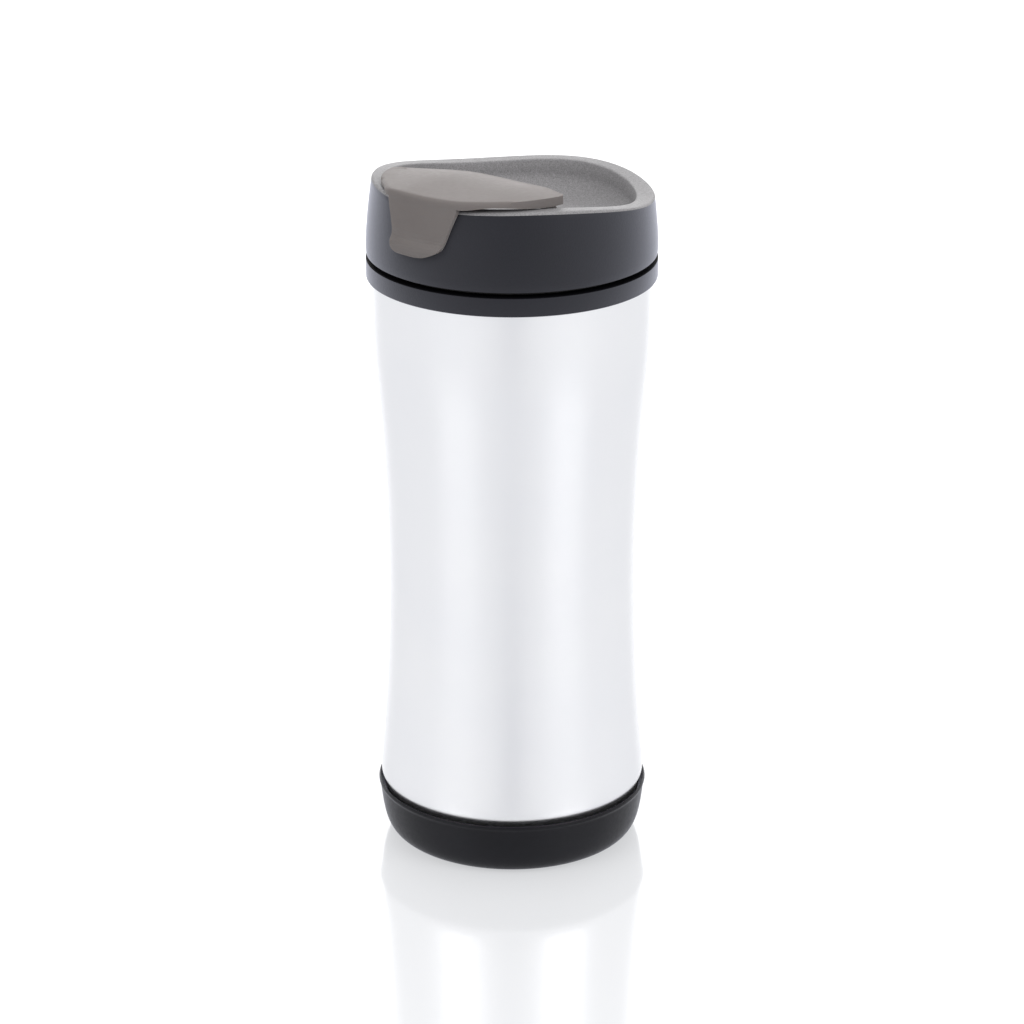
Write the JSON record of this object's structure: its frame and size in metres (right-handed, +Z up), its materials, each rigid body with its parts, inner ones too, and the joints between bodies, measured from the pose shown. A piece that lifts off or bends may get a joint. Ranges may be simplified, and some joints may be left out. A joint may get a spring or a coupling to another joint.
{
  "type": "insulated travel mug",
  "caption": "Waisted double-wall travel mug with a steel shell, plastic liner, screw lid and a flip cap over the drinking hole.",
  "frame": {"origin": "centre of the foot pad's underside, where the mug stands, on the mug's axis", "axes": "+Z up along the mug's axis; -Y towards the drinking side and the thumb tab; X along the flip cap's hinge"},
  "size_m": [0.0804, 0.0821, 0.1973],
  "materials": {
    "brushed_steel": "fine satin stainless steel",
    "black_plastic": "fine-grained black polypropylene",
    "liner_plastic": "smooth dark grey polypropylene",
    "cap_plastic": "smooth warm grey polypropylene",
    "black_silicone": "matt silicone",
    "foot_rubber": "matt ribbed rubber",
    "pin_steel": "drawn stainless wire"
  },
  "bodies": {
    "mug": {"outer_shell": "brushed_steel", "inner_liner": "liner_plastic", "collar_ring": "black_plastic", "collar_seal": "black_silicone", "base_cup": "black_plastic", "base_seal": "black_silicone", "foot_pad": "foot_rubber"},
    "gasket": {"lid_gasket": "black_silicone"},
    "lid": {"lid_shell": "black_plastic", "lid_plug": "black_plastic", "spout_seal": "black_silicone"},
    "flip_cap": {"flip_cap": "cap_plastic", "spout_stopper": "black_silicone", "vent_seal": "black_silicone", "hinge_pin_left": "pin_steel", "hinge_pin_right": "pin_steel"}
  },
  "joints": [
    {"name": "lid_rise", "type": "slide", "parent": "mug", "child": "gasket", "axis": [0, 0, 1], "range_m": [0, 0.0221]},
    {"name": "lid_turn", "type": "hinge", "parent": "gasket", "child": "lid", "pos_m": [0, 0, 0.173], "axis": [0, 0, 1], "range_deg": [0, 990]},
    {"name": "flip_open", "type": "hinge", "parent": "lid", "child": "flip_cap", "pos_m": [0, -0.0165, 0.1922], "axis": [-1, 0, 0], "range_deg": [0, 100]}
  ],
  "couplings": [
    {"joint": "lid_rise", "follows": "lid_turn", "m_per_rad": 0.0012732}
  ]
}
